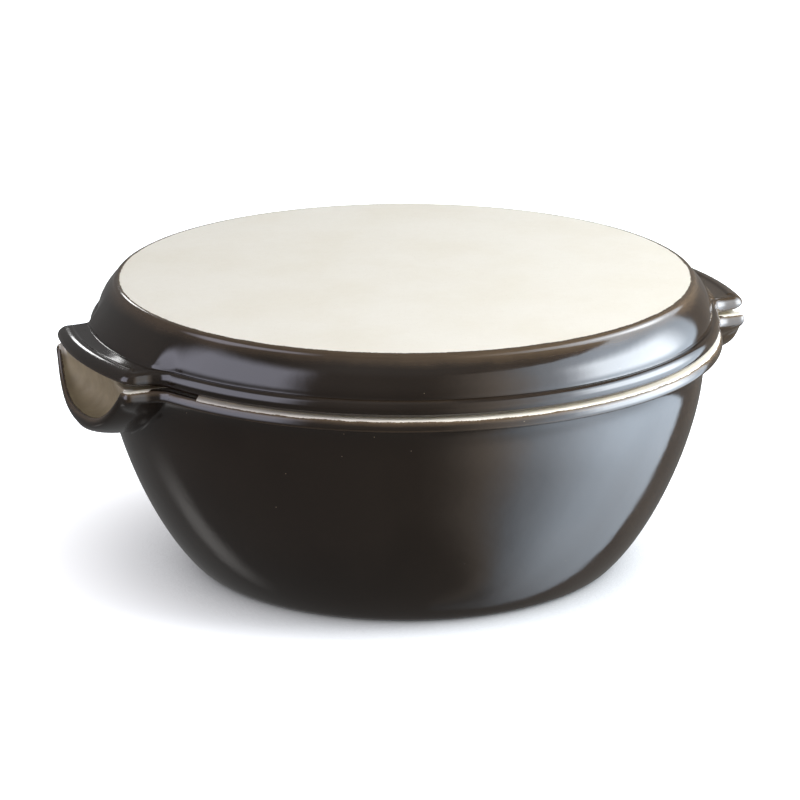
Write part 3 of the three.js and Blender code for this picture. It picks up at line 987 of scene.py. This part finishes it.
def glowing_mesh(name, points, layers, tint):
    """A grid of points that glows by the value stored on them, unseen by the camera. It lets
    light from behind through, so that lamps in front of each other add up."""
    rows, columns, _ = points.shape
    index = np.arange(rows * columns).reshape(rows, columns)
    quads = np.stack([index[:-1, :-1], index[1:, :-1], index[1:, 1:], index[:-1, 1:]], -1)
    mesh = bpy.data.meshes.new(name)
    mesh.from_pydata(points.reshape(-1, 3).tolist(), [], quads.reshape(-1, 4).tolist())
    for layer, values in layers.items():
        attribute = mesh.attributes.new(layer, "FLOAT", "POINT")
        attribute.data.foreach_set("value", values.ravel().astype(np.float32))
    t = Tree(name)
    shine = t.node("Emission")
    if "warm" in layers:
        tint = t.blend(t.stored("warm"), PANEL_COOL, PANEL_WARM)
    t.join(tint, shine.inputs["Color"])
    t.join(t.stored("glow"), shine.inputs["Strength"])
    both = t.node("AddShader")
    t.join(shine.outputs[0], both.inputs[0])
    t.join(t.node("BsdfTransparent").outputs[0], both.inputs[1])
    t.join(both.outputs[0], t.node("OutputMaterial").inputs["Surface"])
    mesh.materials.append(t.material)
    lamp = bpy.data.objects.new(name, mesh)
    bpy.context.collection.objects.link(lamp)
    lamp.visible_camera = False
    print(name, "brightest", round(float(layers["glow"].max()), 2))
    return lamp


def on_ball(azimuth, elevation, distance):
    """Points at a distance from the aim, for arrays of azimuth and elevation in degrees."""
    turn, rise = np.radians(azimuth) - CAMERA_ROUND, np.radians(elevation)
    flat = np.cos(rise)
    return aim + distance * np.stack([np.sin(turn) * flat, -np.cos(turn) * flat, np.sin(rise)], -1)


# %% [markdown]
# On the right stands a tall curved panel, dim and warm at its front end and bright beside
# the pot. It reaches below the table's height, because the bowl's side leans out and
# mirrors what is low. Its glow is given at a few angles and fills in evenly between them.

# %% The panel on the right
PANEL_DISTANCE = 1.6
PANEL_STEP = 3
PANEL_AZIMUTHS = (5, 14, 21, 28, 36, 44, 52, 61, 71, 84, 95, 109, 122, 128, 131)
PANEL_RADIANCES = (0.16, 0.30, 0.55, 0.90, 1.3, 1.8, 2.5, 3.4, 4.5, 5.4, 5.1, 3.8, 2.9, 2.5, 0.1)
PANEL_HEIGHTS = (-84, -75, -69, -63, -57, -50, -44, -35, -26, -14, 20, 42)
PANEL_HEIGHT_SHARES = (0.1, 0.25, 0.31, 0.37, 0.43, 0.5, 0.56, 0.7, 1.0, 1.2, 1.1, 0.8)
PANEL_TURN_START, PANEL_TURN_END, PANEL_TURN = -45, -73, 45
PANEL_LOW_CUT = 0.85
PANEL_LOW_CUT_START, PANEL_LOW_CUT_WIDTH = 65, 25
PANEL_WARM_END = (30, 50)
PANEL_ROOM_CHANGE = -10


def glowing_panel(name):
    """A piece of a ball round the pot. Its glow is a share of height times a radiance of
    azimuth, and low down the azimuth is turned back, as a table's edge would look."""
    azimuth, elevation = np.meshgrid(
        np.arange(PANEL_AZIMUTHS[0], PANEL_AZIMUTHS[-1] + PANEL_STEP, PANEL_STEP),
        np.arange(PANEL_HEIGHTS[0], PANEL_HEIGHTS[-1] + 1, PANEL_STEP))
    points = on_ball(azimuth, elevation, PANEL_DISTANCE)
    below = np.clip((PANEL_TURN_START - elevation) / (PANEL_TURN_START - PANEL_TURN_END), 0, 1)
    front = azimuth - PANEL_TURN * below ** 2
    glow = np.minimum(np.interp(front, PANEL_AZIMUTHS, PANEL_RADIANCES),
                      np.interp(azimuth, PANEL_AZIMUTHS[-6:], PANEL_RADIANCES[-6:]))
    share = np.interp(elevation, PANEL_HEIGHTS, PANEL_HEIGHT_SHARES)
    far = np.clip((azimuth - PANEL_LOW_CUT_START) / PANEL_LOW_CUT_WIDTH, 0, 1)
    share = share * (1 - PANEL_LOW_CUT * below ** 2 * far)
    room = np.where(elevation < PANEL_ROOM_CHANGE, ROOM_GLOW_BELOW, ROOM_GLOW_ABOVE)
    glow = np.maximum(0, glow - room) * share
    warm = np.clip((PANEL_WARM_END[1] - front) / (PANEL_WARM_END[1] - PANEL_WARM_END[0]), 0, 1)
    return glowing_mesh(name, points, {"glow": glow, "warm": warm}, None)


glowing_panel("right_panel")

# %% [markdown]
# Soft boxes on both sides make the two long lights on the lid's belly. A faint strip low on
# the left shows on the bowl's side, a small bright box behind draws the thin light along the
# left tab's edge, and a dim ceiling fills the flat forms.

# %% Soft boxes
LAMP_DISTANCE = 1.4
LAMP_GRID = 25


def soft_box(name, azimuth, elevation, half_width, half_height, feather, radiance, tint):
    """A patch of a ball, in degrees, whose glow falls off smoothly over a feathered border."""
    u, v = np.meshgrid(np.linspace(-1, 1, LAMP_GRID), np.linspace(-1, 1, LAMP_GRID))
    edge = np.clip((1 - np.abs(np.stack([u, v]))) / feather, 0, 1)
    edge = edge ** 2 * (3 - 2 * edge)
    points = on_ball(azimuth + half_width * u, elevation + half_height * v, LAMP_DISTANCE)
    return glowing_mesh(name, points, {"glow": radiance * edge[0] * edge[1]}, (*tint, 1))


soft_box("right_box", azimuth=88, elevation=9, half_width=34, half_height=24,
         feather=0.6, radiance=8.5, tint=(0.93, 0.98, 1.03))
soft_box("left_box", azimuth=-64, elevation=16, half_width=33, half_height=31,
         feather=0.45, radiance=2.6, tint=(0.87, 0.88, 1.06))
soft_box("left_strip", azimuth=-118, elevation=-43, half_width=11, half_height=18,
         feather=0.9, radiance=0.42, tint=(1.0, 0.98, 0.96))
soft_box("back_box", azimuth=-158, elevation=25, half_width=4, half_height=4,
         feather=0.4, radiance=8.5, tint=(1, 1, 1))
soft_box("ceiling", azimuth=0, elevation=60, half_width=60, half_height=24,
         feather=0.6, radiance=0.12, tint=(1.0, 0.99, 0.97))

# %% [markdown]
# The bare clay on top is bright, and a mirrored lamp that strong would burn a spot into the
# glaze. So one key light from the right lights what is matt and is hidden from what is
# glossy.

# %% Key light
def key_light(name, azimuth, elevation, distance, side, radiance):
    """A square area lamp that isn't mirrored: power is pi times its area times its radiance."""
    data = bpy.data.lights.new(name, "AREA")
    data.size = side
    data.energy = math.pi * side ** 2 * radiance
    lamp = bpy.data.objects.new(name, data)
    bpy.context.collection.objects.link(lamp)
    lamp.visible_camera = False
    lamp.visible_glossy = False
    place = aim + distance * direction(math.radians(azimuth), math.radians(elevation))
    point_at(lamp, place, aim)
    print(name, "at", place.round(2), "power", round(data.energy, 1))
    return lamp


key_light("key", azimuth=66, elevation=38, distance=1.1, side=0.45, radiance=11.3)

# %% [markdown]
# The view settings stay plain, so that a colour renders about as it is written.

# %% Finish
bpy.context.scene.view_settings.view_transform = "Standard"
